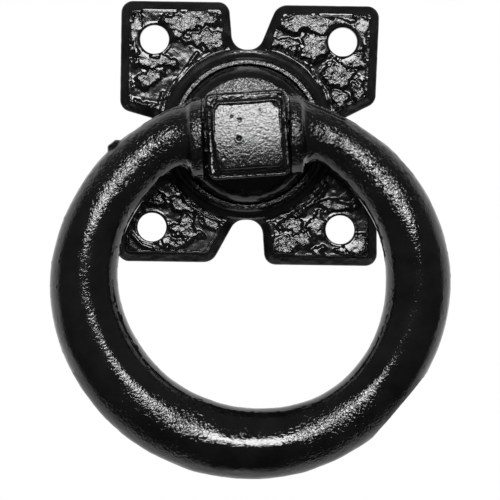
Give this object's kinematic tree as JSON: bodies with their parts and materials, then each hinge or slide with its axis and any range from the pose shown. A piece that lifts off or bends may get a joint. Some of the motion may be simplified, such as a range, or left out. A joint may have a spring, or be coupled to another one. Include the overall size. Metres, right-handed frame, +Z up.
{
  "type": "ring pull handle",
  "caption": "Heavy cast ring pull: lobed backplate with screw holes, turning domed boss with a square block, and a round-bar ring swinging on the block.",
  "frame": {"origin": "on the boss axis, at the centre of the four screw holes, on the backplate's mounting face", "axes": "+Z up with the ring hanging down, +Y into the door or drawer front, the handle stands out towards -Y"},
  "size_m": [0.0807, 0.0294, 0.0965],
  "materials": {
    "plate_casting": "semi-gloss black paint over a hammered casting",
    "boss_casting": "semi-gloss black paint over a sand-cast skin",
    "ring_casting": "semi-gloss black paint over a sand-cast skin",
    "washer_steel": "dark oiled steel"
  },
  "bodies": {
    "plate": {"backplate": "plate_casting"},
    "turning_boss": {"boss": "boss_casting", "retaining_washer": "washer_steel"},
    "swinging_ring": {"ring": "ring_casting"}
  },
  "joints": [
    {"name": "boss_swivel", "type": "hinge", "parent": "plate", "child": "turning_boss", "pos_m": [0, 0, 0], "axis": [0, -1, 0], "continuous": true},
    {"name": "ring_swing", "type": "hinge", "parent": "turning_boss", "child": "swinging_ring", "pos_m": [0.00003, -0.02, -0.00055], "axis": [-0.9988, 0, -0.0488], "range_deg": [-11, 191]}
  ]
}
